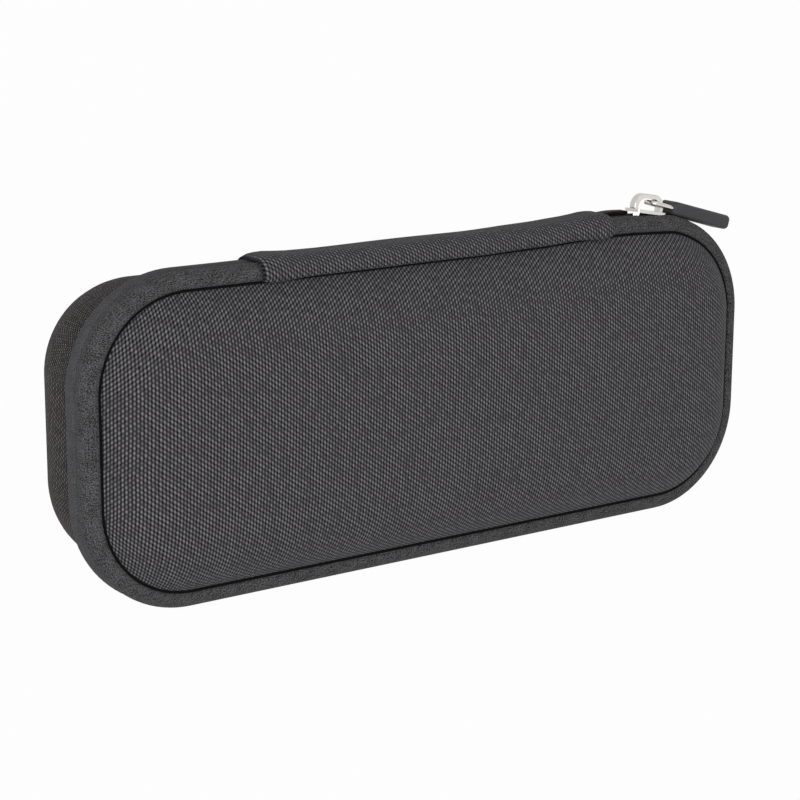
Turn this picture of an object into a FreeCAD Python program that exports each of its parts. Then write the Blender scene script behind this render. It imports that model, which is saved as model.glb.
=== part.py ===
import FreeCAD, Part
import math
import os

Vector = FreeCAD.Vector
up = Vector(0, 0, 1)

# Outline of the case, seen from above as it lies on its back
case_length = 235.0
case_width = 94.0
corner_radius = 32.0

# Rim that carries the zip, and the two moulded halves that swell out of it
rim_height = 13.0
rim_edge_round = 3.6
crease_inset = 5.4
crease_gap = 0.4
base_proud = 36.0
base_round_share = 0.75

# The lid rises from the crease in a long curve that runs level before the middle
lid_proud = 10.5
lid_fullness = 2.8
lid_shoulder_share = 0.97
lid_core_share = 0.94
lid_station_shares = (0, 0.06, 0.14, 0.25, 0.4, 0.6, 0.8, 1)

# Layers of a half, from the outside in
cover_thick = 0.7
shell_wall = 3.0
lining_thick = 0.5
lip_thick = 1.0

# Tape bound over the inner edge of the lip and the lining
binding_thick = 0.5
base_binding_drop = 4.0
lid_binding_drop = 0.2
binding_setback = 1.8

# Zip: tapes turned round the rim, with the coils hidden on their inner side
tape_thick = 0.6
slit_gap = 0.3
coil_height = 1.8
coil_width = 2.0

# Cloth spine that hinges the lid, lapped over the ends of the zip tapes
spine_share = 0.532
spine_proud = 0.9
spine_lap = 3.0
spine_lining_thick = 0.5

# Folded end of the zip tape between the spine and the slider
tab_length = 11.2
tab_width = 3.9
tab_tail_height = 0.8
tab_nose_height = 2.6
end_gap = 0.5

# Die-cast slider, set back from where the rim starts to turn the corner, nose up by a few degrees
slider_length = 12.6
slider_setback = 3.9
slider_tilt = 10.0
slider_nose_width = 7.2
slider_tail_width = 6.2
slider_corner = 1.4
wing_thick = 0.9
wing_clearance = 1.15
floor_clearance = 1.3
slot_clearance = 0.55
flange_thick = 0.8
flange_length = 8.5
post_length = 3.0
post_width = 2.2
post_setback = 1.2
part_clearance = 0.5
part_run = 3.5

# Crown: an arched strap over the slider, which holds the bail of the pull
crown_length = 11.8
crown_width = 2.6
crown_height = 5.1
crown_thick = 1.4
crown_edge = 0.35
crown_flat_share = 0.34
crown_shoulder_share = 0.13
crown_shoulder_height_share = 0.72

# Pull: a wire bail that hangs in the crown, with a rubber grip moulded over its end
pivot_height = 4.6
pivot_shift = 0.8
pull_droop = 15.5
bail_wire = 1.5
bail_reach = 11.2
bail_corner = 1.5
bail_clearance = 0.3
grip_start = 7.6
grip_length = 25.0
grip_width = 8.0
grip_thick = 4.5
grip_edge = 1.5

# Foam nests, hollowed for a hand-held microphone that lies along the case
nest_clearance = 0.3
nest_parting = 1.0
nest_floor = 1.0
mic_length = 187.0
mic_head_radius = 24.0
mic_neck_radius = 17.5
mic_end_radius = 12.0
mic_neck_share = 0.6

# Length by which every cut runs past the solid that it cuts
overrun = 5.0

# Heights above the slit, the same way for both halves
rim_half = rim_height / 2
lip_top = rim_half - tape_thick
lip_bottom = lip_top - lip_thick
slit_height = base_proud + rim_half

# Distances in from the outer face of the rim
shell_inset = crease_inset + cover_thick
lining_inset = shell_inset + shell_wall
room_inset = lining_inset + lining_thick
nest_inset = room_inset + binding_thick + nest_clearance
wall_total = cover_thick + shell_wall + lining_thick
base_edge_round = base_round_share * (corner_radius - crease_inset)
lid_shoulder = lid_shoulder_share * (corner_radius - crease_inset)

# Places along the hinge side
slider_x = case_length / 2 - corner_radius - slider_setback
slider_nose = slider_x - slider_length / 2
slider_tail = slider_x + slider_length / 2
tab_end = slider_nose - end_gap
tab_start = tab_end - tab_length
spine_end = tab_start - end_gap
spine_start = spine_end - spine_share * case_length
rim_outer = case_width / 2


# Rounded rectangle of the case, drawn in by inset, at a height.
def plan(inset, height):
    half_x = case_length / 2 - inset
    half_y = case_width / 2 - inset
    radius = corner_radius - inset
    turns = ((1, 1, 0), (-1, 1, 90), (-1, -1, 180), (1, -1, 270))
    arcs = []
    for side_x, side_y, start in turns:
        centre = Vector(side_x * (half_x - radius), side_y * (half_y - radius), height)
        arcs.append(Part.makeCircle(radius, centre, up, start, start + 90))
    edges = []
    for arc, following in zip(arcs, arcs[1:] + arcs[:1]):
        edges.append(arc)
        edges.append(Part.makeLine(arc.valueAt(arc.LastParameter), following.valueAt(following.FirstParameter)))
    return Part.Wire(edges)


def plate(inset, low, high):
    return Part.Face(plan(inset, low)).extrude(Vector(0, 0, high - low))


def ring(outer, inner, low, high):
    return plate(outer, low, high).cut(plate(inner, low - overrun, high + overrun))


# Plate whose upper edge is rounded over all the way about.
def pillow(inset, low, high, edge_round):
    solid = plate(inset, low, high)
    top = [edge for edge in solid.Edges if edge.BoundBox.ZMin > (low + high) / 2]
    return solid.makeFillet(edge_round, top)


# Box between pairs of limits.
def box(x, y, z):
    size = (x[1] - x[0], y[1] - y[0], z[1] - z[0])
    return Part.makeBox(*size, Vector(x[0], y[0], z[0]))


# Everything along the hinge side between two places.
def hinge_side(start, end):
    reach = rim_half + spine_proud + overrun
    return box((start, end), (0, case_width), (-reach, reach))


# Straight-sided solid over a closed outline.
def prism(points, axis):
    return Part.Face(Part.makePolygon(points + points[:1])).extrude(axis)


# The two moulded halves, each drawn upwards from the slit and filled up to a depth below its outer face

def base_form(depth, inset, low):
    return pillow(inset, low, rim_half + base_proud - depth, base_edge_round - depth)


def lid_form(depth, inset, low):
    start = inset - crease_inset
    reach = lid_core_share * lid_shoulder - start
    sections = []
    for share in lid_station_shares:
        way = start + share * reach
        left = 1 - way / lid_shoulder
        rise = lid_proud * (1 - left ** lid_fullness)
        slope = lid_proud * lid_fullness / lid_shoulder * left ** (lid_fullness - 1)
        sections.append(plan(crease_inset + way, rim_half + rise - depth * math.hypot(1, slope)))
    foot = plate(inset, low, sections[0].BoundBox.ZMin)
    return foot.fuse(Part.makeLoft(sections, True, False)).removeSplitter()


def cover(form):
    return form(0, crease_inset, lip_top).cut(form(cover_thick, shell_inset, lip_top - overrun))


def lip_core():
    return pillow(tape_thick, -overrun, lip_top, rim_edge_round - tape_thick)


def shell(form):
    lip = lip_core().cut(plate(-overrun, -overrun - overrun, lip_bottom))
    outer = form(cover_thick, shell_inset, lip_bottom).fuse(lip)
    return outer.cut(form(cover_thick + shell_wall, lining_inset, lip_bottom - overrun)).removeSplitter()


def lining(form):
    outer = form(cover_thick + shell_wall, lining_inset, lip_bottom)
    return outer.cut(form(wall_total, room_inset, lip_bottom - overrun))


def edge_binding(drop):
    inner = room_inset + binding_thick
    flat = ring(binding_setback, inner, lip_bottom - binding_thick, lip_bottom)
    turned = ring(room_inset, inner, lip_bottom - binding_thick, lip_bottom + drop)
    return flat.fuse(turned).removeSplitter()


def nest(form):
    return form(wall_total, nest_inset, nest_parting / 2)


# Space that the slider's post opens between the two tapes.
def parted_slit():
    post_start = slider_nose + post_setback
    post_end = post_start + post_length
    half = post_width / 2 + part_clearance
    outline = [(post_start - part_run, 0), (post_start, half), (post_end, half), (post_end + part_run, 0),
               (post_end, -half), (post_start, -half)]
    depth = tape_thick + coil_height + overrun
    points = [Vector(x, rim_outer + overrun, z) for x, z in outline]
    return prism(points, Vector(0, -depth - overrun, 0))


def zip_tape():
    outer = pillow(0, slit_gap / 2, rim_half, rim_edge_round)
    band = outer.cut(lip_core()).cut(plate(crease_inset - crease_gap, -overrun, rim_half + overrun))
    return band.cut(hinge_side(spine_start + spine_lap, spine_end - spine_lap)).cut(parted_slit())


def zip_coil():
    bead = ring(tape_thick, tape_thick + coil_height, slit_gap / 2, slit_gap / 2 + coil_width)
    return bead.cut(hinge_side(spine_start + spine_lap, spine_end - spine_lap)).cut(parted_slit())


def on_lid(shape):
    return shape.translated(Vector(0, 0, slit_height))


def on_base(shape):
    return shape.mirror(Vector(0, 0, 0), up).translated(Vector(0, 0, slit_height))


# Microphone nests

mic_axis = rim_half + base_proud - wall_total - nest_floor - mic_head_radius
mic_head_x = mic_head_radius - mic_length / 2
mic_neck_x = mic_head_x + mic_neck_share * mic_head_radius
mic_end_x = mic_length / 2


# Round-bottomed slot, open towards the slit.
def trough_section(x, radius):
    top = -overrun
    left = Vector(x, -radius, mic_axis)
    right = Vector(x, radius, mic_axis)
    bottom = Part.Arc(left, Vector(x, 0, mic_axis + radius), right).toShape()
    left_top = Vector(x, -radius, top)
    right_top = Vector(x, radius, top)
    sides = [Part.makeLine(right, right_top), Part.makeLine(right_top, left_top), Part.makeLine(left_top, left)]
    return Part.Wire([bottom] + sides)


def base_nest():
    centre = Vector(mic_head_x, 0, mic_axis)
    deepest = Vector(mic_head_x, 0, mic_axis + mic_head_radius)
    slant = mic_head_radius * math.sqrt(0.5)
    halfway = Vector(mic_head_x + slant, 0, mic_axis + slant)
    widest = Vector(mic_head_x + mic_head_radius, 0, mic_axis)
    mouth = Vector(mic_head_x + mic_head_radius, 0, -overrun)
    top = Vector(mic_head_x, 0, -overrun)
    profile = Part.Wire([Part.Arc(deepest, halfway, widest).toShape(), Part.makeLine(widest, mouth),
                         Part.makeLine(mouth, top), Part.makeLine(top, deepest)])
    head = Part.Face(profile).revolve(centre, up, 360)
    sections = [trough_section(mic_neck_x, mic_neck_radius), trough_section(mic_end_x, mic_end_radius)]
    handle = Part.makeLoft(sections, True, True)
    return nest(base_form).cut(head).cut(handle)


def lid_nest():
    head = Part.makeSphere(mic_head_radius, Vector(mic_head_x, 0, -mic_axis))
    along = Vector(1, 0, 0)
    neck = Vector(mic_neck_x, 0, -mic_axis)
    handle = Part.makeCone(mic_neck_radius, mic_end_radius, mic_end_x - mic_neck_x, neck, along)
    handle.rotate(neck, along, 180)
    return nest(lid_form).cut(head).cut(handle)


# Spine

def spine_strip():
    outer = pillow(-spine_proud, 0, rim_half + spine_proud, rim_edge_round + spine_proud)
    half = outer.cut(lip_core()).cut(plate(crease_inset - crease_gap, -overrun, rim_half + overrun))
    half = half.common(hinge_side(spine_start, spine_end)).cut(zip_tape())
    return half.fuse(half.mirror(Vector(0, 0, 0), up)).removeSplitter()


def spine_lining():
    outer = rim_outer - tape_thick
    half = rim_half - rim_edge_round
    return box((spine_start + spine_lap, spine_end - spine_lap), (outer - spine_lining_thick, outer), (-half, half))


def zip_end_tab():
    outline = [(tab_start, 0), (tab_end, 0), (tab_end, tab_nose_height), (tab_start, tab_tail_height)]
    points = [Vector(x, rim_outer + y, -slit_gap) for x, y in outline]
    return prism(points, Vector(0, 0, -tab_width))


# Slider

def wing_plan(inset, height):
    nose = slider_nose_width / 2 - inset
    tail = slider_tail_width / 2 - inset
    front = slider_nose + inset
    back = slider_tail - inset
    waist = slider_tail - flange_length
    outline = [(front, -nose), (waist, -nose), (back, -tail), (back, tail), (waist, nose), (front, nose)]
    return [Vector(x, height, z) for x, z in outline]


def wing(low, thick):
    solid = prism(wing_plan(0, low), Vector(0, thick, 0))
    ends = [edge for edge in solid.Edges
            if edge.BoundBox.YLength > thick / 2
            and abs(edge.CenterOfMass.x - slider_x) > slider_length / 2 - slider_corner / 2]
    return solid.makeFillet(slider_corner, ends)


wing_under = rim_outer + wing_clearance
wing_top = wing_under + wing_thick
floor_top = rim_outer - tape_thick - coil_height - floor_clearance
flange_top = rim_outer - tape_thick - slot_clearance


def slider_body():
    floor = wing(floor_top - wing_thick, wing_thick)
    rise = Vector(0, flange_top - floor_top, 0)
    channel = prism(wing_plan(0, floor_top), rise).cut(prism(wing_plan(flange_thick, floor_top), rise))
    sides = channel.common(box((slider_tail - flange_length, slider_tail - flange_thick),
                               (floor_top, flange_top), (-slider_nose_width, slider_nose_width)))
    middle = slider_nose + post_setback + post_length / 2
    half_length = post_length / 2
    half_width = post_width / 2
    outline = [(middle - half_length, 0), (middle, -half_width), (middle + half_length, 0), (middle, half_width)]
    post = prism([Vector(x, floor_top, z) for x, z in outline], Vector(0, wing_under - floor_top, 0))
    return floor.fuse([sides, post, wing(wing_under, wing_thick)]).removeSplitter()


# Solid arch that stands on the slider's upper wing.
def arch(length, height, width):
    half = length / 2
    flat = half * crown_flat_share
    shoulder = half * (1 - crown_shoulder_share)
    shoulder_height = wing_top + height * crown_shoulder_height_share
    base = -width / 2
    feet = [Vector(slider_x - half, wing_top, base), Vector(slider_x + half, wing_top, base)]
    tops = [Vector(slider_x - flat, wing_top + height, base), Vector(slider_x + flat, wing_top + height, base)]
    rise = Part.Arc(feet[0], Vector(slider_x - shoulder, shoulder_height, base), tops[0]).toShape()
    fall = Part.Arc(tops[1], Vector(slider_x + shoulder, shoulder_height, base), feet[1]).toShape()
    outline = Part.Wire([rise, Part.makeLine(*tops), fall, Part.makeLine(feet[1], feet[0])])
    return Part.Face(outline).extrude(Vector(0, 0, width))


def slider_crown():
    outer = arch(crown_length, crown_height, crown_width)
    rims = [edge for edge in outer.Edges
            if edge.BoundBox.ZLength < crown_edge and edge.BoundBox.YMax > wing_top + crown_edge]
    eye = arch(crown_length - 2 * crown_thick, crown_height - crown_thick, crown_width + overrun)
    return outer.makeFillet(crown_edge, rims).cut(eye)


# Pull, drawn along +X from its pivot and then hung at its angle of rest

def pull_bail():
    radius = bail_wire / 2
    half = crown_width / 2 + bail_clearance + radius
    inner = half - bail_corner
    near = bail_corner
    far = bail_reach - bail_corner
    corners = ((far, inner, 0), (near, inner, 90), (near, -inner, 180), (far, -inner, 270))
    arcs = [Part.makeCircle(bail_corner, Vector(x, 0, z), Vector(0, -1, 0), start, start + 90)
            for x, z, start in corners]
    edges = []
    for arc, following in zip(arcs, arcs[1:] + arcs[:1]):
        edges.append(arc)
        edges.append(Part.makeLine(arc.valueAt(arc.LastParameter), following.valueAt(following.FirstParameter)))
    path = Part.Wire(Part.__sortEdges__(edges))
    first = path.OrderedEdges[0]
    start = first.valueAt(first.FirstParameter)
    section = Part.Wire(Part.makeCircle(radius, start, first.tangentAt(first.FirstParameter)))
    return path.makePipeShell([section], True, True)


def pull_grip():
    half_width = grip_width / 2
    half_thick = grip_thick / 2
    bar = box((grip_start, grip_start + grip_length), (-half_thick, half_thick), (-half_width, half_width))
    return bar.makeFillet(grip_edge, bar.Edges).cut(pull_bail())


# Turned nose up about the line where the slider stands on the rim.
def tilted(shape):
    turned = shape.copy()
    turned.rotate(Vector(slider_x, rim_outer, 0), up, -slider_tilt)
    return turned


def hung(shape):
    tilt = math.radians(slider_tilt)
    pivot_x = slider_x + pivot_shift * math.cos(tilt) + pivot_height * math.sin(tilt)
    pivot_y = rim_outer + pivot_height * math.cos(tilt) - pivot_shift * math.sin(tilt)
    turned = shape.copy()
    turned.rotate(Vector(0, 0, 0), up, -pull_droop)
    return turned.translated(Vector(pivot_x, pivot_y, slit_height))


pieces = {
    "base_cover": on_base(cover(base_form)),
    "base_shell": on_base(shell(base_form)),
    "base_lining": on_base(lining(base_form)),
    "base_edge_binding": on_base(edge_binding(base_binding_drop)),
    "base_foam": on_base(base_nest()),
    "base_zip_tape": on_base(zip_tape()),
    "base_zip_coil": on_base(zip_coil()),
    "spine_strip": on_lid(spine_strip()),
    "spine_lining": on_lid(spine_lining()),
    "zip_end_tab": on_lid(zip_end_tab()),
    "lid_cover": on_lid(cover(lid_form)),
    "lid_shell": on_lid(shell(lid_form)),
    "lid_lining": on_lid(lining(lid_form)),
    "lid_edge_binding": on_lid(edge_binding(lid_binding_drop)),
    "lid_foam": on_lid(lid_nest()),
    "lid_zip_tape": on_lid(zip_tape()),
    "lid_zip_coil": on_lid(zip_coil()),
    "slider_body": on_lid(tilted(slider_body())),
    "slider_crown": on_lid(tilted(slider_crown())),
    "pull_bail": hung(pull_bail()),
    "pull_grip": hung(pull_grip()),
}

os.makedirs("parts", exist_ok=True)
for name, shape in pieces.items():
    shape.exportStep(os.path.join("parts", name + ".step"))
    limits = shape.BoundBox
    print(name, len(shape.Solids), shape.isValid(), round(shape.Volume, 1),
          [round(v, 2) for v in (limits.XMin, limits.YMin, limits.ZMin, limits.XMax, limits.YMax, limits.ZMax)])
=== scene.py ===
import bpy
import bmesh
import math
from mathutils import Matrix, Vector


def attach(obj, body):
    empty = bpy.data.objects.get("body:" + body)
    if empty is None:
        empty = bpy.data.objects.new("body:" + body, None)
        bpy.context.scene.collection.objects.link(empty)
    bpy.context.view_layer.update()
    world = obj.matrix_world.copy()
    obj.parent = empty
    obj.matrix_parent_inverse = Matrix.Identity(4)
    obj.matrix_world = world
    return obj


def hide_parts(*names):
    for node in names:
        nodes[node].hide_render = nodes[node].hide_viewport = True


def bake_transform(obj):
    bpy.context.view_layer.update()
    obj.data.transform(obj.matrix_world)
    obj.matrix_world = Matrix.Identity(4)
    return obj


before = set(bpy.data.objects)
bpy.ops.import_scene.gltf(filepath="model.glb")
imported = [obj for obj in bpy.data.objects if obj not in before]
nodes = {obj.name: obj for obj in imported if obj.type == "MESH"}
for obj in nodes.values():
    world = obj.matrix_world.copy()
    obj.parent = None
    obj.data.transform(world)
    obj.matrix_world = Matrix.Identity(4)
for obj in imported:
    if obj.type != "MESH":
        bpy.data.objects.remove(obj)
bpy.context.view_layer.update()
scene = bpy.context.scene
mm = 0.001
weld = 2e-6  # points closer than this, in metres, become one

# The case lies on its back; the lengths in this script's forms are in mm
caseForm = {
    "cornerX": 85.5,  # centre of the rim's corners
    "cornerY": 15.0,
    "cornerRadius": 32.0,  # outside of the rim
    "slit": 42.5,  # height of the zip's line
    "rimHalf": 6.5,  # from the zip's line to the rim's edge
    "crease": 5.4,  # from the outside of the rim in to the foot of the covers
}


def toLinear(code):  # sRGB hex to linear
    parts = [int(code[i:i + 2], 16) / 255 for i in (1, 3, 5)]
    return [c / 12.92 if c <= 0.04045 else ((c + 0.055) / 1.055) ** 2.4 for c in parts] + [1.0]


def addNode(tree, kind, settings=None, links=None):
    node = tree.nodes.new(kind)
    for name, value in (settings or {}).items():
        if isinstance(name, str) and hasattr(node, name):
            setattr(node, name, value)
        else:
            node.inputs[name].default_value = value
    for name, source in (links or {}).items():
        tree.links.new(source.outputs[0] if hasattr(source, "outputs") else source, node.inputs[name])
    return node


def newMaterial(name, finish, view):  # view is the colour in the viewport
    material = bpy.data.materials.new(name)
    material.use_nodes = True
    material.diffuse_color = toLinear(view)
    tree = material.node_tree
    surface = tree.nodes["Principled BSDF"]
    for socket, value in finish.items():
        surface.inputs[socket].default_value = value
    return material, tree, surface


def fillRamp(ramp, stops):
    elements = ramp.color_ramp.elements
    while len(elements) < len(stops):
        elements.new(0.5)
    for element, (place, code) in zip(elements, stops):
        element.position = place
        element.color = toLinear(code)


# Coarse woven polyester: thick upright yarns side by side, each with a pale crest once in every repeat,
# half a repeat higher from one yarn to the next. Between the yarns are dark holes, above or below the
# crests' diagonal as the cloth leans. The map is in mm, and the attribute lean says which holes stand open.
wovenCloth = {
    "finish": {"Roughness": 0.78, "Specular IOR Level": 0.1, "Sheen Weight": 0.05, "Sheen Roughness": 0.5},
    "column": 0.983,  # width of a yarn
    "repeat": 1.335,  # from crest to crest along a yarn
    "crest": (0.62, 0.60),  # half width and half height, as shares of column and repeat
    "hole": (0.46, 0.42),
    "holeLifts": (0.25, 0.75),  # places of the two sets of holes, as shares of the repeat
    "wave": 0.10,  # how far the yarns wander
    "drift": 9.0909,  # over what length they do
    "least": 0.6,  # weakest crest or hole, and what chance adds to it
    "chance": 0.8,
    "yarnTone": 0.45,  # tone of a plain yarn, what a crest adds and what a hole takes away
    "crestTone": 0.5,
    "holeTone": 0.55,
    "stops": (0.05, 0.48, 0.95),  # tones that show as gap, yarn and crest
    "relief": 0.30,
    "strength": 0.7,
}


def makeWoven(name, gap, yarn, crest):
    p = wovenCloth
    material, tree, surface = newMaterial(name, p["finish"], yarn)
    place = addNode(tree, "ShaderNodeUVMap", {"uv_map": "cloth"})
    drift = addNode(tree, "ShaderNodeTexNoise", {"Scale": 1 / p["drift"], "Detail": 2.0}, {"Vector": place})
    parts = addNode(tree, "ShaderNodeSeparateXYZ", {}, {0: place})
    sway = addNode(tree, "ShaderNodeMath",
                   {"operation": "MULTIPLY_ADD", 1: 4 * p["wave"], 2: -2 * p["wave"]}, {0: drift})
    across = addNode(tree, "ShaderNodeMath", {"operation": "ADD"}, {0: parts.outputs[0], 1: sway})
    column = addNode(tree, "ShaderNodeMath", {"operation": "DIVIDE", 1: p["column"]}, {0: across})
    row = addNode(tree, "ShaderNodeMath", {"operation": "DIVIDE", 1: p["repeat"]}, {0: parts.outputs[1]})
    # Crests stand in the middle of a yarn, holes on the line between two, all on the same staggered grid
    grids = [(0.0, p["crest"], 0.0)] + [(0.5, p["hole"], lift) for lift in p["holeLifts"]]
    bumps = []
    for shift, (wide, high), lift in grids:
        moved = addNode(tree, "ShaderNodeMath", {"operation": "ADD", 1: shift}, {0: column})
        number = addNode(tree, "ShaderNodeMath", {"operation": "FLOOR"}, {0: moved})
        aside = addNode(tree, "ShaderNodeMath", {"operation": "FRACT"}, {0: moved})
        stagger = addNode(tree, "ShaderNodeMath", {"operation": "MULTIPLY_ADD", 1: 0.5, 2: lift}, {0: number})
        raised = addNode(tree, "ShaderNodeMath", {"operation": "ADD"}, {0: row, 1: stagger})
        rowNumber = addNode(tree, "ShaderNodeMath", {"operation": "FLOOR"}, {0: raised})
        above = addNode(tree, "ShaderNodeMath", {"operation": "FRACT"}, {0: raised})
        x = addNode(tree, "ShaderNodeMath",
                    {"operation": "MULTIPLY_ADD", 1: 1 / wide, 2: -0.5 / wide}, {0: aside})
        y = addNode(tree, "ShaderNodeMath",
                    {"operation": "MULTIPLY_ADD", 1: 1 / high, 2: -0.5 / high}, {0: above})
        spot = addNode(tree, "ShaderNodeCombineXYZ", {}, {0: x, 1: y})
        away = addNode(tree, "ShaderNodeVectorMath", {"operation": "LENGTH"}, {0: spot})
        bump = addNode(tree, "ShaderNodeMapRange",
                       {"interpolation_type": "SMOOTHSTEP", "From Min": 0.0, "From Max": 1.0,
                        "To Min": 1.0, "To Max": 0.0}, {0: away.outputs["Value"]})
        cell = addNode(tree, "ShaderNodeCombineXYZ", {}, {0: number, 1: rowNumber})
        chance = addNode(tree, "ShaderNodeTexWhiteNoise", {"noise_dimensions": "2D"}, {"Vector": cell})
        uneven = addNode(tree, "ShaderNodeMath",
                         {"operation": "MULTIPLY_ADD", 1: p["chance"], 2: p["least"]}, {0: chance})
        bumps.append(addNode(tree, "ShaderNodeMath", {"operation": "MULTIPLY"}, {0: bump, 1: uneven}))
    raisedYarn = addNode(tree, "ShaderNodeMath",
                         {"operation": "MULTIPLY_ADD", 1: p["crestTone"], 2: p["yarnTone"]}, {0: bumps[0]})
    lean = addNode(tree, "ShaderNodeAttribute", {"attribute_name": "lean"})
    shown = addNode(tree, "ShaderNodeMix", {}, {0: lean.outputs["Fac"], 2: bumps[1], 3: bumps[2]})
    sunk = addNode(tree, "ShaderNodeMath", {"operation": "MULTIPLY", 1: p["holeTone"]}, {0: shown})
    tone = addNode(tree, "ShaderNodeMath", {"operation": "SUBTRACT"}, {0: raisedYarn, 1: sunk})
    ramp = addNode(tree, "ShaderNodeValToRGB", {}, {0: tone})
    fillRamp(ramp, list(zip(p["stops"], (gap, yarn, crest))))
    relief = addNode(tree, "ShaderNodeBump",
                     {"Strength": p["strength"], "Distance": p["relief"] * mm}, {"Height": tone})
    tree.links.new(ramp.outputs[0], surface.inputs["Base Color"])
    tree.links.new(relief.outputs[0], surface.inputs["Normal"])
    return material


# Warp-knitted zip tape: matt mid grey, close rows of slanting loops that show as faint dark flecks, and
# faint cloudy patches. The map is in mm, along and across.
knitTape = {
    "finish": {"Roughness": 0.85, "Specular IOR Level": 0.1, "Sheen Weight": 0.05, "Sheen Roughness": 0.5},
    "loop": 0.28,  # width of a loop
    "slant": 0.75,  # how far a row leans along the tape for each mm across it
    "stretch": 0.6,  # the map's scale across the tape, where loops are longer
    "patch": 3.5714,  # size of the patches
    "cloud": 0.2,  # their strength
    "spread": 0.22,  # from the middle tone to either colour, at a contrast of 1
    "relief": 0.14,
    "strength": 0.6,
}


def makeKnit(name, dark, pale, contrast):
    p = knitTape
    material, tree, surface = newMaterial(name, p["finish"], pale)
    place = addNode(tree, "ShaderNodeUVMap", {"uv_map": "cloth"})
    parts = addNode(tree, "ShaderNodeSeparateXYZ", {}, {0: place})
    along = addNode(tree, "ShaderNodeMath", {"operation": "MULTIPLY_ADD", 1: p["slant"]},
                    {0: parts.outputs[1], 2: parts.outputs[0]})
    shrunk = addNode(tree, "ShaderNodeMath",
                     {"operation": "MULTIPLY", 1: p["stretch"]}, {0: parts.outputs[1]})
    spot = addNode(tree, "ShaderNodeCombineXYZ", {}, {0: along, 1: shrunk})
    flecks = addNode(tree, "ShaderNodeTexNoise",
                     {"noise_dimensions": "2D", "Scale": 1 / p["loop"], "Detail": 1.0}, {"Vector": spot})
    mottle = addNode(tree, "ShaderNodeTexNoise",
                     {"noise_dimensions": "2D", "Scale": 1 / p["patch"], "Detail": 2.0}, {"Vector": place})
    even = addNode(tree, "ShaderNodeMath",
                   {"operation": "MULTIPLY_ADD", 1: p["cloud"], 2: -0.5 * p["cloud"]}, {0: mottle})
    tone = addNode(tree, "ShaderNodeMath", {"operation": "ADD"}, {0: flecks, 1: even})
    ramp = addNode(tree, "ShaderNodeValToRGB", {}, {0: tone})
    spread = p["spread"] / contrast
    fillRamp(ramp, [(0.5 - spread, dark), (0.5 + spread, pale)])
    relief = addNode(tree, "ShaderNodeBump",
                     {"Strength": p["strength"] * contrast, "Distance": p["relief"] * mm}, {"Height": flecks})
    tree.links.new(ramp.outputs[0], surface.inputs["Base Color"])
    tree.links.new(relief.outputs[0], surface.inputs["Normal"])
    return material


# Back half: the front's weave, darker as painted shade, and warmer; its tape has less contrast
woven = makeWoven("wovenPolyester", "#060508", "#413f42", "#8e8c8f")
paintedShadeBackWoven = makeWoven("wovenPolyesterBackPaintedShade", "#020101", "#302d2d", "#868080")
lidKnit = makeKnit("knittedTapeFront", "#1d1d1e", "#727274", contrast=1.5)
baseKnit = makeKnit("knittedTapeBack", "#444446", "#6b6b6e", contrast=1.1)

# Materials of one pattern each: a noise or cell pattern on object coordinates that sets colour and relief
grainForm = {"detail": 4.0, "stops": (0.2, 0.75), "strength": 0.7}


def makeGrained(name, finish, dark, pale, size, relief, cells=False):
    p = grainForm
    material, tree, surface = newMaterial(name, finish, pale)
    place = addNode(tree, "ShaderNodeTexCoord")
    kind = "ShaderNodeTexVoronoi" if cells else "ShaderNodeTexNoise"
    settings = {"Scale": 1 / (size * mm)}
    if not cells:
        settings["Detail"] = p["detail"]
    pattern = addNode(tree, kind, settings, {"Vector": place.outputs["Object"]})
    ramp = addNode(tree, "ShaderNodeValToRGB", {}, {0: pattern})
    fillRamp(ramp, list(zip(p["stops"], (dark, pale))))
    bump = addNode(tree, "ShaderNodeBump",
                   {"Strength": p["strength"], "Distance": relief * mm}, {"Height": pattern})
    tree.links.new(ramp.outputs[0], surface.inputs["Base Color"])
    tree.links.new(bump.outputs[0], surface.inputs["Normal"])
    return material


# Pressed EVA foam: black, matt, fine closed pores
eva = makeGrained("mouldedEva", {"Roughness": 0.95, "Specular IOR Level": 0.1},
                  "#0b0b0c", "#121213", size=0.6, relief=0.05)
# Brushed knit lining: black, soft, a short nap that catches the light at its edges
nap = makeGrained("brushedLining", {"Roughness": 0.95, "Specular IOR Level": 0.15, "Sheen Weight": 0.4},
                  "#121213", "#262627", size=0.8, relief=0.12)
# Open-cell sponge: charcoal, matt, small round pores
sponge = makeGrained("spongeFoam", {"Roughness": 0.97, "Specular IOR Level": 0.1},
                     "#19191a", "#353536", size=0.9, relief=0.25, cells=True)
# Nylon of the zip's coils: black, satin
nylon = makeGrained("nylonCoil", {"Roughness": 0.35, "Specular IOR Level": 0.5},
                    "#151516", "#1f1f20", size=1.5, relief=0.02)
# Coated end of the zip tape: black, smooth and dull, with faint creases
coated = makeGrained("coatedTape", {"Roughness": 0.6, "Specular IOR Level": 0.08},
                     "#13110e", "#1e1b17", size=2.5, relief=0.06)
# Nickel plate on the slider: bright, polished, with a trace of tumbling marks
nickel = makeGrained("polishedNickel", {"Metallic": 1.0, "Roughness": 0.2},
                     "#c0bdb9", "#cecbc7", size=1.2, relief=0.004)
# Soft rubber of the pull: dark grey, satin, a fine moulded grain
rubber = makeGrained("softRubber", {"Roughness": 0.55, "Specular IOR Level": 0.3},
                     "#3c3c3e", "#48484a", size=0.5, relief=0.02)
solidParts = {"base_shell": eva, "lid_shell": eva, "slider_body": nickel, "slider_crown": nickel,
              "pull_bail": nickel, "pull_grip": rubber}
for name, material in solidParts.items():
    nodes[name].data.materials.clear()
    nodes[name].data.materials.append(material)

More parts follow.
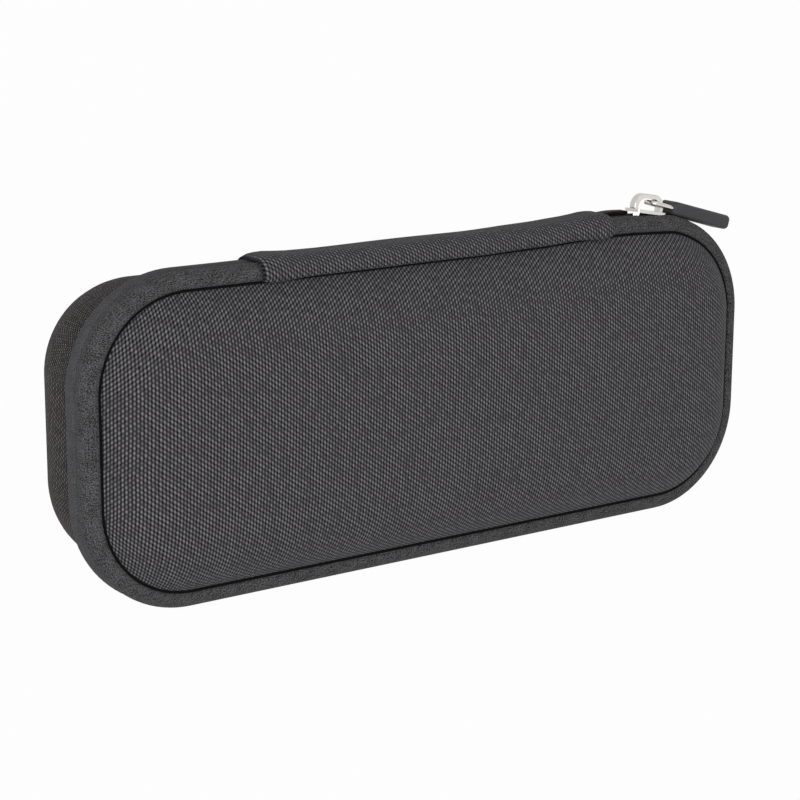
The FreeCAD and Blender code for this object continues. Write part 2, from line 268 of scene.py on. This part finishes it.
# Ribbed binding tape: black, matt, cross ribs and a row of thread near each edge. The map is in mm,
# along and across.
bindingTape = {
    "finish": {"Roughness": 0.85, "Specular IOR Level": 0.12},
    "ground": "#1c1c1d",
    "thread": "#3a3a3b",
    "rib": 0.7,
    "stitch": 3.2,  # length of a stitch
    "onTop": 0.72,  # share of it that lies on the tape
    "rows": (1.5, 7.6),  # places of the two rows across the tape
    "halfThread": 0.28,
    "threadRise": 2.0,  # height of the thread against the ribs
    "relief": 0.10,
    "strength": 0.6,
}


def makeBinding():
    p = bindingTape
    material, tree, surface = newMaterial("bindingTape", p["finish"], p["ground"])
    place = addNode(tree, "ShaderNodeUVMap", {"uv_map": "cloth"})
    parts = addNode(tree, "ShaderNodeSeparateXYZ", {}, {0: place})
    phase = addNode(tree, "ShaderNodeMath",
                    {"operation": "MULTIPLY", 1: 2 * math.pi / p["rib"]}, {0: parts.outputs[0]})
    ribs = addNode(tree, "ShaderNodeMath", {"operation": "SINE"}, {0: phase})
    step = addNode(tree, "ShaderNodeMath", {"operation": "DIVIDE", 1: p["stitch"]}, {0: parts.outputs[0]})
    inStep = addNode(tree, "ShaderNodeMath", {"operation": "FRACT"}, {0: step})
    shown = addNode(tree, "ShaderNodeMath", {"operation": "LESS_THAN", 1: p["onTop"]}, {0: inStep})
    rows = []
    for row in p["rows"]:
        away = addNode(tree, "ShaderNodeMath", {"operation": "SUBTRACT", 1: row}, {0: parts.outputs[1]})
        off = addNode(tree, "ShaderNodeMath", {"operation": "ABSOLUTE"}, {0: away})
        rows.append(addNode(tree, "ShaderNodeMath", {"operation": "LESS_THAN", 1: p["halfThread"]}, {0: off}))
    either = addNode(tree, "ShaderNodeMath", {"operation": "MAXIMUM"}, {0: rows[0], 1: rows[1]})
    thread = addNode(tree, "ShaderNodeMath", {"operation": "MULTIPLY"}, {0: either, 1: shown})
    colour = addNode(tree, "ShaderNodeMix",
                     {"data_type": "RGBA", 6: toLinear(p["ground"]), 7: toLinear(p["thread"])}, {0: thread})
    height = addNode(tree, "ShaderNodeMath",
                     {"operation": "MULTIPLY_ADD", 1: p["threadRise"]}, {0: thread, 2: ribs})
    relief = addNode(tree, "ShaderNodeBump",
                     {"Strength": p["strength"], "Distance": p["relief"] * mm}, {"Height": height})
    tree.links.new(colour.outputs[2], surface.inputs["Base Color"])
    tree.links.new(relief.outputs[0], surface.inputs["Normal"])
    return material


binding = makeBinding()
print("materials ready")


# Carries a section, given as radius, height and length along it, round the case's rounded rectangle:
# a quarter spin at each corner, and straight runs of so many steps between. run keeps the length along
# the section.
def sweepRound(bm, section, runs, steps=20):
    cx, cy = caseForm["cornerX"] * mm, caseForm["cornerY"] * mm
    run = bm.verts.layers.float.new("run")
    verts = [bm.verts.new((cx + radius * mm, cy, height * mm)) for radius, height, along in section]
    for vert, (radius, height, along) in zip(verts, section):
        vert[run] = along
    geom = verts + [bm.edges.new(pair) for pair in zip(verts, verts[1:])]
    corners = [((cx, cy), (-2 * cx, 0), runs[0]), ((-cx, cy), (0, -2 * cy), runs[1]),
               ((-cx, -cy), (2 * cx, 0), runs[0]), ((cx, -cy), (0, 2 * cy), runs[1])]
    for (px, py), (dx, dy), count in corners:
        geom = bmesh.ops.spin(bm, geom=geom, cent=(px, py, 0), axis=(0, 0, 1), angle=math.pi / 2,
                              steps=steps)["geom_last"]
        geom = bmesh.ops.spin(bm, geom=geom, cent=(0, 0, 0), axis=(0, 0, 1), angle=0,
                              dvec=(dx / count, dy / count, 0), steps=count)["geom_last"]
    bmesh.ops.remove_doubles(bm, verts=bm.verts, dist=weld)
    return run


def measured(points):  # adds to each point the length walked along the section
    done, length = [], 0.0
    for here, before in zip(points, points[:1] + points[:-1]):
        length += math.dist(here, before)
        done.append((*here, length))
    return done


def quarterTurn(count):  # angles from 0 to a right angle
    return [math.pi / 2 * i / count for i in range(count + 1)]


def cornerOf(co):  # nearest point of the core rectangle between the corner centres
    cx, cy = caseForm["cornerX"] * mm, caseForm["cornerY"] * mm
    return Vector((max(-cx, min(cx, co.x)), max(-cy, min(cy, co.y)), 0))


# Turns all faces round if most look against the direction, or inwards where none is given
def turnFaces(bm, direction=None):
    bmesh.ops.recalc_face_normals(bm, faces=bm.faces)
    total = 0.0
    for face in bm.faces:
        middle = face.calc_center_median()
        wanted = Vector(direction) if direction else (middle - cornerOf(middle)).to_2d().to_3d()
        total += face.normal.dot(wanted) * face.calc_area()
    if total < 0:
        bmesh.ops.reverse_faces(bm, faces=bm.faces)


rimLength = 2 * math.pi * caseForm["cornerRadius"] + 4 * (caseForm["cornerX"] + caseForm["cornerY"])


def rimRuns():  # each corner's centre and first angle, with the straight run after it
    cx, cy = caseForm["cornerX"], caseForm["cornerY"]
    return [(cx, cy, 0.0, 2 * cx), (-cx, cy, math.pi / 2, 2 * cy),
            (-cx, -cy, math.pi, 2 * cx), (cx, -cy, 1.5 * math.pi, 2 * cy)]


def alongRim(co):  # way round the rim in mm, counted at the corner radius
    radius, quarter = caseForm["cornerRadius"], math.pi / 2
    slack, edge = 0.001, 0.01  # an angle and a length within which a point counts as on the line
    near = cornerOf(co)
    turn = math.atan2(co.y - near.y, co.x - near.x) % (2 * math.pi)
    way = 0.0
    for cx, cy, start, length in rimRuns():
        past = (turn - start + slack) % (2 * math.pi) - slack
        off = Vector((co.x / mm - cx, co.y / mm - cy))
        if past < quarter - slack and off.dot((math.sin(start), -math.cos(start))) < edge:
            return way + radius * max(past, 0)
        if abs(past - quarter) <= slack:
            return way + radius * quarter + max(0, off.dot((-math.cos(start), -math.sin(start))))
        way += radius * quarter + length
    return 0.0


def rimPlace(way, inset):  # point at a distance round the rim, drawn in by inset
    radius = caseForm["cornerRadius"]
    quarter = radius * math.pi / 2
    way = way % rimLength
    for cx, cy, start, length in rimRuns():
        turn = start + min(way, quarter) / radius
        if way < quarter + length:
            past = max(0.0, way - quarter)
            reach = radius - inset
            return (cx + reach * math.cos(turn) - past * math.sin(turn),
                    cy + reach * math.sin(turn) + past * math.cos(turn))
        way -= quarter + length


def eased(share):  # soft step from 0 to 1
    share = max(0.0, min(1.0, share))
    return share * share * (3 - 2 * share)


def lineAt(line, place, soft=False):  # height at a place of a line of points, 0 beyond its ends
    height = 0.0
    for (a, low), (b, high) in zip(line, line[1:]):
        if a <= place <= b:
            way = (place - a) / (b - a)
            height = low + (high - low) * (eased(way) if soft else way)
    return height


# The hinge side isn't straight: the soft rim stands up where the spine and the zip's end lie over each other
# near the slider, and sags at the other end. Pairs of place along the side and height.
swellForm = {
    "line": [(-117, 0.0), (-95, -0.3), (-70, -0.35), (-30, -0.2), (10, 0.0), (35, 0.5), (52, 1.25),
             (64, 1.55), (75, 1.25), (86, 0.6), (98, 0.0), (117, 0.0)],
    "from": 30.0,  # place across the case where the swell starts
    "full": 44.0,  # and where it is full
}


def swell(bm):
    p = swellForm
    for vert in bm.verts:
        share = eased((vert.co.y / mm - p["from"]) / (p["full"] - p["from"]))
        vert.co.y += lineAt(p["line"], vert.co.x / mm, soft=True) * share * mm


def mapCover(bm, run, lean=0.0):  # the flat field keeps its place, the rounded edge unrolls outwards
    layer = bm.loops.layers.uv.new("cloth")
    for face in bm.faces:
        for loop in face.loops:
            co = loop.vert.co
            near = cornerOf(co)
            out = Vector((co.x - near.x, co.y - near.y, 0))
            spot = near / mm + (out.normalized() * loop.vert[run] if out.length > 1e-7 else Vector())
            loop[layer].uv = (spot.x + lean * spot.y, spot.y)


# The cloth's lean, from 0 to 1: on slopes that face the hinge side or the left end the other holes open
leanForm = {"hinge": 0.9, "left": 0.45, "start": 0.1, "span": 0.35}


def leanCloth(bm):
    p = leanForm
    layer = bm.verts.layers.float.new("lean")
    bm.normal_update()
    for vert in bm.verts:
        facing = p["hinge"] * vert.normal.y - p["left"] * vert.normal.x
        vert[layer] = eased((facing - p["start"]) / p["span"])


def mapBand(bm, run):  # along the rim and across the band
    layer = bm.loops.layers.uv.new("cloth")
    for face in bm.faces:
        places = [alongRim(loop.vert.co) for loop in face.loops]
        far = max(places) - min(places) > rimLength / 2
        for loop, place in zip(face.loops, places):
            loop[layer].uv = (place + rimLength if far and place < rimLength / 2 else place, loop.vert[run])


def newPiece(name, bm, material, body, node=None, thick=None):
    mesh = bpy.data.meshes.new(name)
    bm.to_mesh(mesh)
    bm.free()
    mesh.materials.append(material)
    for polygon in mesh.polygons:
        polygon.use_smooth = True
    piece = bpy.data.objects.new(name, mesh)
    scene.collection.objects.link(piece)
    if thick:
        wall = piece.modifiers.new("wall", "SOLIDIFY")
        wall.thickness = thick * mm
        wall.offset = -1
    if body:
        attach(piece, body)
    if node:
        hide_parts(node)
    return piece


def takeMesh(helper):  # the finished mesh of a helper object, which then goes
    scene.collection.objects.link(helper)
    mesh = bpy.data.meshes.new_from_object(helper.evaluated_get(bpy.context.evaluated_depsgraph_get()))
    bm = bmesh.new()
    bm.from_mesh(mesh)
    bpy.data.meshes.remove(mesh)
    bpy.data.objects.remove(helper)
    return bm


# A moulded skin: section from the middle outwards, as radius about the corner and height from the slit
def makeSkin(section, side, facing, crown=None, runs=(14, 4)):
    bm = bmesh.new()
    slit = caseForm["slit"]
    points = [(radius, slit + side * height, along) for radius, height, along in measured(section)]
    run = sweepRound(bm, points, runs)
    size = Matrix.Diagonal((caseForm["cornerX"] * mm, caseForm["cornerY"] * mm, 1, 1))
    place = Matrix.Translation((0, 0, points[0][1] * mm))
    bmesh.ops.create_grid(bm, x_segments=runs[0], y_segments=runs[1], size=1.0, matrix=place @ size)
    bmesh.ops.remove_doubles(bm, verts=bm.verts, dist=weld)
    if crown:
        for vert in bm.verts:
            vert.co.z += crown(vert.co.x / mm, vert.co.y / mm) * mm
    turnFaces(bm, (0, 0, facing))
    return bm, run


# Woven covers: the lid a low dome that leaves the crease steeply, the base a deep tray with a rounded edge
coverForm = {
    "foot": 4.95,  # height of the cover's edge from the slit
    "wall": 0.35,
    "lean": -0.029,  # how far the lid's yarns lean from upright
    "lid": {
        "rings": (0, 2.5, 5, 8, 11, 13.5, 15.8, 17.8, 19.6, 21.2, 22.6, 23.8, 24.8, 25.6, 26.2),
        "from": 5.75,  # the dome rises from here, over its reach, by a power of the way in
        "rise": 9.75,
        "reach": 34.4,
        "power": 4.71,
        "crown": 2.3,  # what the middle stands higher, falling to nothing at halfX and halfY
        "halfX": 112.2,
        "halfY": 41.7,
    },
    "base": {"proud": 36.0, "edge": 19.95, "steps": 14},
}


def lidCrown(x, y):
    p = coverForm["lid"]
    return p["crown"] * (1 - (x / p["halfX"]) ** 4) * (1 - (y / p["halfY"]) ** 2)


def makeLidCover():
    p = coverForm["lid"]
    outer = caseForm["cornerRadius"] - caseForm["crease"]
    section = []
    for radius in (*p["rings"], outer):
        left = 1 - (outer - radius) / p["reach"]
        section.append((radius, p["from"] + p["rise"] * (1 - left ** p["power"])))
    section.append((outer, coverForm["foot"]))
    bm, run = makeSkin(section, 1, 1, lidCrown)
    mapCover(bm, run, coverForm["lean"])
    swell(bm)
    leanCloth(bm)
    newPiece("lidCoverCloth", bm, woven, "lid", "lid_cover", coverForm["wall"])


def traySection(depth, inset, foot):
    p = coverForm["base"]
    outer = caseForm["cornerRadius"] - inset
    top = caseForm["rimHalf"] + p["proud"] - depth
    edge = p["edge"] - depth
    section = [(0, top), (outer - edge, top)]
    for turn in quarterTurn(p["steps"])[1:]:
        section.append((outer - edge + edge * math.sin(turn), top - edge * (1 - math.cos(turn))))
    return section + [(outer, foot)]


def makeBaseCover():
    bm, run = makeSkin(traySection(0, caseForm["crease"], coverForm["foot"]), -1, -1)
    mapCover(bm, run)
    swell(bm)
    leanCloth(bm)
    # the base cover takes the darker copy of the cloth, whose darkness is painted shade
    newPiece("baseCoverCloth", bm, paintedShadeBackWoven, "base", "base_cover", coverForm["wall"])


makeLidCover()
makeBaseCover()
print("covers ready")

# Linings: the solids' forms, drawn in by cover and shell
liningForm = {
    "depth": 3.75,  # thickness of cover and shell
    "wall": 0.4,
    "foot": 4.95,
    "rings": (0, 3, 6, 9, 12, 14.5, 16.8, 18.8, 20.4, 21.7),
    "proud": 10.5,  # the lid's dome: its height above the rim, and the width and power of its shoulder
    "shoulder": 25.8,
    "power": 2.8,
    "runs": (6, 2),
}


def makeLining(half, side):
    p = liningForm
    outer = caseForm["cornerRadius"] - caseForm["crease"]
    if half == "base":
        section = traySection(p["depth"], caseForm["crease"] + p["depth"], p["foot"])
    else:
        section = []
        for radius in (*p["rings"], outer - p["depth"]):
            left = max(0.0, 1 - (outer - radius) / p["shoulder"])
            slope = p["proud"] * p["power"] / p["shoulder"] * left ** (p["power"] - 1)
            height = caseForm["rimHalf"] + p["proud"] * (1 - left ** p["power"])
            section.append((radius, height - p["depth"] * math.hypot(1, slope)))
        section.append((outer - p["depth"], p["foot"]))
    bm = makeSkin(section, side, -side, runs=p["runs"])[0]
    newPiece(half + "LiningCloth", bm, nap, half, half + "_lining", p["wall"])


makeLining("lid", 1)
makeLining("base", -1)
print("linings ready")


# A band swept round the rim: section as inset and height from the slit
def makeBand(section, side, direction=None):
    bm = bmesh.new()
    points = [(caseForm["cornerRadius"] - inset, caseForm["slit"] + side * height, along)
              for inset, height, along in measured(section)]
    run = sweepRound(bm, points, runs=(12, 3), steps=24)
    turnFaces(bm, direction)
    mapBand(bm, run)
    return bm


# Zip tapes: turned in at the slit, up the rim in one full roll and down into the crease
tapeForm = {
    "lip": [(2.3, 0.20), (1.3, 0.20), (0.80, 0.34), (0.45, 0.70), (0.22, 1.25), (0.07, 2.0)],
    "edge": 3.6,  # radius of the roll
    "steps": 10,
    "tuck": [(3.95, 6.47), (4.3, 6.34), (4.58, 6.08), (4.76, 5.7), (4.82, 5.3), (4.85, 4.9)],
    "wall": 0.4,
}


def makeTape(half, side, material):
    p = tapeForm
    edge, top = p["edge"], caseForm["rimHalf"]
    roll = [(edge * (1 - math.cos(turn)), top - edge * (1 - math.sin(turn)))
            for turn in quarterTurn(p["steps"])]
    bm = makeBand(p["lip"] + roll + p["tuck"], side)
    swell(bm)
    newPiece(half + "ZipTape", bm, material, half, half + "_zip_tape", p["wall"])


makeTape("lid", 1, lidKnit)
makeTape("base", -1, baseKnit)

# Bindings: ribbed tape that lies on the lip and turns in over the edge of the lining
bindingForm = {
    "flat": [(1.85, 4.86), (1.9, 4.58), (2.15, 4.42), (5.0, 4.40), (8.9, 4.40), (9.6, 4.44), (9.98, 4.62)],
    "turn": {"lid": [(10.04, 4.9), (10.04, 5.2)], "base": [(10.06, 5.2), (10.06, 8.8)]},
    "wall": 0.4,
}


def makeEdgeBinding(half, side):
    p = bindingForm
    bm = makeBand(p["flat"] + p["turn"][half], side, (0, 0, -side))
    newPiece(half + "EdgeBinding", bm, binding, half, half + "_edge_binding", p["wall"])


makeEdgeBinding("lid", 1)
makeEdgeBinding("base", -1)
print("tapes and bindings ready")

# Coils: one nylon thread wound along the inner side of each tape, the two halves meshing at the slit
coilForm = {
    "pitch": 1.7,
    "thread": 0.26,  # half the thread's thickness
    "points": 8,  # to a turn
    "inset": 1.75,  # middle of the turns and half their size, in from the rim and up from the slit
    "deep": 0.62,
    "height": 0.92,
    "tall": 0.86,
    "start": -59.0,  # ends beside the hinge, along the case
    "end": 60.0,
}


def makeCoil(half, side):
    p = coilForm
    quarter = caseForm["cornerRadius"] * math.pi / 2
    first = quarter + caseForm["cornerX"] - p["start"]
    last = rimLength + quarter + caseForm["cornerX"] - p["end"]
    curve = bpy.data.curves.new(half + "CoilLine", "CURVE")
    curve.dimensions = "3D"
    curve.bevel_depth = p["thread"] * mm
    curve.bevel_resolution = 1
    curve.use_fill_caps = True
    line = curve.splines.new("POLY")
    line.points.add(int((last - first) / p["pitch"] * p["points"]))
    for i, point in enumerate(line.points):
        turn = 2 * math.pi * i / p["points"] + (math.pi if side < 0 else 0)
        x, y = rimPlace(first + p["pitch"] * i / p["points"], p["inset"] - p["deep"] * math.cos(turn))
        z = caseForm["slit"] + side * (p["height"] - p["tall"] * math.sin(turn))
        point.co = (x * mm, y * mm, z * mm, 1)
    bm = takeMesh(bpy.data.objects.new(half + "CoilLine", curve))
    newPiece(half + "ZipCoil", bm, nylon, half, half + "_zip_coil")


makeCoil("lid", 1)
makeCoil("base", -1)
print("coils ready")

# Spine: a woven strip lapped over the rim on the hinge side, its ends turned under
spineForm = {
    "start": -61.9,
    "end": 63.1,
    "rise": 1.1,  # how far it stands above the rim
    "crease": 4.9,
    "tuck": [(-0.05, 2.2), (0.0, 1.1), (0.4, 0.3), (1.0, 0.0)],  # way out from the crease, drop from the top
    "edge": 4.7,  # radius of its roll over the rim's edge
    "steps": 10,
    "flank": (1.6, 0.7),  # heights from the slit on its outer face
    "hem": [(0.0, -0.85), (0.12, -0.30), (0.45, 0.15), (1.2, 0.42), (3.0, 0.62), (5.5, 0.66), (8.5, 0.42),
            (13.0, 0.1), (18.0, 0.0)],  # way in from an end, and height of the turned hem there
    "spans": 16,  # between the hems
    "ripple": {"height": 0.12, "along": 9.0, "across": 4.1},
    "wall": 0.8,
    "bend": 4.0,  # the cloth turns within this of the slit
}


def makeSpine():
    p = spineForm
    outer = caseForm["cornerY"] + caseForm["cornerRadius"]
    top, out = caseForm["rimHalf"] + p["rise"], outer + p["rise"]
    half = [(outer - p["crease"] + aside, top - drop) for aside, drop in p["tuck"]]
    for turn in quarterTurn(p["steps"]):
        half.append((out - p["edge"] * (1 - math.sin(turn)), top - p["edge"] * (1 - math.cos(turn))))
    half += [(out, z) for z in p["flank"]]
    points = half + [(out, 0.0)] + [(y, -z) for y, z in reversed(half)]
    bm = bmesh.new()
    run = bm.verts.layers.float.new("run")
    verts = []
    for y, z, along in measured(points):
        verts.append(bm.verts.new((p["start"] * mm, y * mm, (caseForm["slit"] + z) * mm)))
        verts[-1][run] = along
    geom = verts + [bm.edges.new(pair) for pair in zip(verts, verts[1:])]
    stations = [p["start"] + place for place, lift in p["hem"]]
    ends = [p["end"] - place for place, lift in reversed(p["hem"])]
    span = (ends[0] - stations[-1]) / p["spans"]
    stations += [stations[-1] + span * i for i in range(1, p["spans"])] + ends
    for before, after in zip(stations, stations[1:]):
        geom = bmesh.ops.spin(bm, geom=geom, cent=(0, 0, 0), axis=(0, 0, 1), angle=0,
                              dvec=((after - before) * mm, 0, 0), steps=1)["geom_last"]
    turnFaces(bm, (0, 1, 0))
    bm.normal_update()
    ripple = p["ripple"]
    moves = []
    for vert in bm.verts:
        x = vert.co.x / mm
        reach = min(x - p["start"], p["end"] - x)
        lift = lineAt(p["hem"], reach)
        if reach > p["hem"][-1][0]:
            lift = ripple["height"] * math.sin(x / ripple["along"]) * math.sin(vert[run] / ripple["across"])
        moves.append(Vector((0, vert.normal.y, vert.normal.z)).normalized() * lift * mm)
    for vert, move in zip(bm.verts, moves):
        vert.co += move
    layer = bm.loops.layers.uv.new("cloth")
    for face in bm.faces:
        for loop in face.loops:
            loop[layer].uv = (loop.vert.co.x / mm, loop.vert[run])
    swell(bm)
    piece = newPiece("spineCloth", bm, woven, None, "spine_strip", p["wall"])
    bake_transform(piece)


# Inner hinge cloth: a strip that bows a little towards the inside
hingeClothForm = {
    "start": -59.0,
    "end": 60.0,
    "face": 45.95,  # place across the case, at the slit
    "half": 2.85,  # half its width
    "bow": 0.12,
    "rows": 12,
    "spans": 24,
    "wall": 0.4,
    "bend": 2.5,  # the cloth turns within this of the slit
}


def makeHingeCloth():
    p = hingeClothForm
    bm = bmesh.new()
    verts = []
    for i in range(p["rows"] + 1):
        z = p["half"] * (2 * i / p["rows"] - 1)
        y = p["face"] + p["bow"] * (z / p["half"]) ** 2
        verts.append(bm.verts.new((p["start"] * mm, y * mm, (caseForm["slit"] + z) * mm)))
    geom = verts + [bm.edges.new(pair) for pair in zip(verts, verts[1:])]
    span = (p["end"] - p["start"]) / p["spans"] * mm
    bmesh.ops.spin(bm, geom=geom, cent=(0, 0, 0), axis=(0, 0, 1), angle=0,
                   dvec=(span, 0, 0), steps=p["spans"])
    turnFaces(bm, (0, -1, 0))
    piece = newPiece("hingeCloth", bm, nap, None, "spine_lining", p["wall"])
    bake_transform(piece)


makeSpine()
makeHingeCloth()
print("spine ready")

# Zip end: the tape's end folded over itself into a wedge that rises to the slider
tabForm = {
    "start": 63.6,
    "end": 74.8,
    "low": 38.4,
    "high": 42.1,
    "face": 47.0,  # the rim that it lies on
    "seat": 0.02,  # heights above the rim: underside, thin end and thick end
    "tail": 0.7,
    "nose": 1.1,
    "belly": 0.28,  # how far the fold swells between its ends
    "cuts": 6,
    "sharp": 0.6,  # edges that turn by more than this angle are rounded
    "edge": 0.175,
}


def makeTab():
    p = tabForm
    length = p["end"] - p["start"]
    bm = bmesh.new()
    bmesh.ops.create_cube(bm, size=1.0)
    for vert in bm.verts:
        x = p["end"] if vert.co.x > 0 else p["start"]
        above = p["nose"] if vert.co.x > 0 else p["tail"]
        y = p["face"] + (above if vert.co.y > 0 else p["seat"])
        z = p["high"] if vert.co.z > 0 else p["low"]
        vert.co = (x * mm, y * mm, z * mm)
    long = [edge for edge in bm.edges if abs(edge.verts[0].co.x - edge.verts[1].co.x) > length / 2 * mm]
    bmesh.ops.subdivide_edges(bm, edges=long, cuts=p["cuts"])
    for vert in bm.verts:
        if vert.co.y / mm > p["face"] + p["tail"] / 2:
            share = (vert.co.x / mm - p["start"]) / length
            vert.co.y += p["belly"] * math.sin(math.pi * share) * mm
    sharp = [edge for edge in bm.edges if edge.calc_face_angle(0) > p["sharp"]]
    bmesh.ops.bevel(bm, geom=sharp, offset=p["edge"] * mm, offset_type="OFFSET", affect="EDGES", segments=3,
                    profile=0.5, material=-1)
    bmesh.ops.recalc_face_normals(bm, faces=bm.faces)
    swell(bm)
    newPiece("zipEndFold", bm, coated, "base", "zip_end_tab")


makeTab()
print("zip end ready")

# Foam nests: soft sponge blocks with the microphone's hollow, their edges eased
foamForm = {"weld": 1e-6, "voxel": 1.3, "smooth": 0.5, "passes": 6, "fill": 0.9}


def makeFoam(half):
    p = foamForm
    bm = bmesh.new()
    bm.from_mesh(nodes[half + "_foam"].data)
    bmesh.ops.remove_doubles(bm, verts=bm.verts, dist=p["weld"])
    block = bpy.data.meshes.new(half + "Block")
    bm.to_mesh(block)
    bm.free()
    rough = bpy.data.objects.new(half + "Block", block)
    remesh = rough.modifiers.new("remesh", "REMESH")
    remesh.mode = "VOXEL"
    remesh.voxel_size = p["voxel"] * mm
    ease = rough.modifiers.new("ease", "SMOOTH")
    ease.factor = p["smooth"]
    ease.iterations = p["passes"]
    piece = newPiece(half + "FoamNest", takeMesh(rough), sponge, half, half + "_foam")


makeFoam("lid")
makeFoam("base")
print("foams ready")

# Camera at the photograph's viewing angle: the picture's upright is near +Y here. Place in metres.
cameraForm = {
    "place": (-0.365686, 0.14402, 0.538631),
    "right": (0.81462, 0.00374, 0.57998),
    "up": (0.12967, 0.97349, -0.18841),
    "lens": 96.615,
    "sensor": 36.0,
    "near": 0.02,
    "far": 20.0,
}
cameraData = bpy.data.cameras.new("camera")
cameraData.lens = cameraForm["lens"]
cameraData.sensor_width = cameraForm["sensor"]
cameraData.clip_start = cameraForm["near"]
cameraData.clip_end = cameraForm["far"]
camera = bpy.data.objects.new("camera", cameraData)
right, upright = Vector(cameraForm["right"]), Vector(cameraForm["up"])
turned = Matrix((right, upright, right.cross(upright))).transposed().to_4x4()
camera.matrix_world = Matrix.Translation(cameraForm["place"]) @ turned
scene.collection.objects.link(camera)
scene.camera = camera


def whiteRays(tree):  # the rays that see paper and room white: the camera's, and those that metal sends back
    rays = addNode(tree, "ShaderNodeLightPath")
    share = rays.outputs["Is Camera Ray"]
    for kind in ("Is Glossy Ray", "Is Transmission Ray"):
        share = addNode(tree, "ShaderNodeMath", {"operation": "MAXIMUM"}, {0: share, 1: rays.outputs[kind]})
    return share


# White paper floor, which keeps a little of the object's shadow. Lengths in metres.
floorForm = {
    "half": 3.0,
    "level": -0.0003,  # just clear of the case's back
    "shade": 0.98,  # share of plain white in what those rays see
    "paper": "#a8a8a8",
    "view": "#f4f4f4",
    "rough": 0.9,
}
bm = bmesh.new()
bmesh.ops.create_grid(bm, x_segments=1, y_segments=1, size=floorForm["half"],
                      matrix=Matrix.Translation((0, 0, floorForm["level"])))
floorMesh = bpy.data.meshes.new("floor")
bm.to_mesh(floorMesh)
bm.free()
floor = bpy.data.objects.new("floor", floorMesh)
scene.collection.objects.link(floor)
paperFinish = {"Base Color": toLinear(floorForm["paper"]), "Roughness": floorForm["rough"]}
paper, tree, surface = newMaterial("studioPaper", paperFinish, floorForm["view"])
share = addNode(tree, "ShaderNodeMath",
                {"operation": "MULTIPLY", 1: floorForm["shade"]}, {0: whiteRays(tree)})
glow = addNode(tree, "ShaderNodeEmission", {"Strength": 1.0})
mixed = addNode(tree, "ShaderNodeMixShader", {}, {0: share, 1: surface, 2: glow})
tree.links.new(mixed.outputs[0], tree.nodes["Material Output"].inputs[0])
floorMesh.materials.append(paper)

# Soft studio light: an even white room and three large lamps, each with its place and size in metres and
# its watts
lightForm = {
    "room": 0.25,
    "aim": (0, 0, 0.03),
    "lamps": [("key", (-0.75, 0.1, 0.95), 0.9, 7.0), ("fill", (0.62, -0.22, 0.92), 0.9, 0.5),
              ("top", (0.2, 0.75, 0.75), 0.7, 0.8)],
}
world = bpy.data.worlds.new("room")
scene.world = world
world.use_nodes = True
tree = world.node_tree
ground = tree.nodes["Background"]
ground.inputs["Color"].default_value = (1, 1, 1, 1)
ground.inputs["Strength"].default_value = lightForm["room"]
white = addNode(tree, "ShaderNodeBackground", {"Color": (1, 1, 1, 1), "Strength": 1.0})
mixed = addNode(tree, "ShaderNodeMixShader", {}, {0: whiteRays(tree), 1: ground, 2: white})
tree.links.new(mixed.outputs[0], tree.nodes["World Output"].inputs[0])
for name, place, size, power in lightForm["lamps"]:
    lampData = bpy.data.lights.new(name, "AREA")
    lampData.size = size
    lampData.energy = power
    lamp = bpy.data.objects.new(name, lampData)
    aim = (Vector(lightForm["aim"]) - Vector(place)).to_track_quat("-Z", "Y")
    lamp.matrix_world = Matrix.Translation(place) @ aim.to_matrix().to_4x4()
    scene.collection.objects.link(lamp)
scene.view_settings.view_transform = "Standard"
print("camera, floor and light ready")
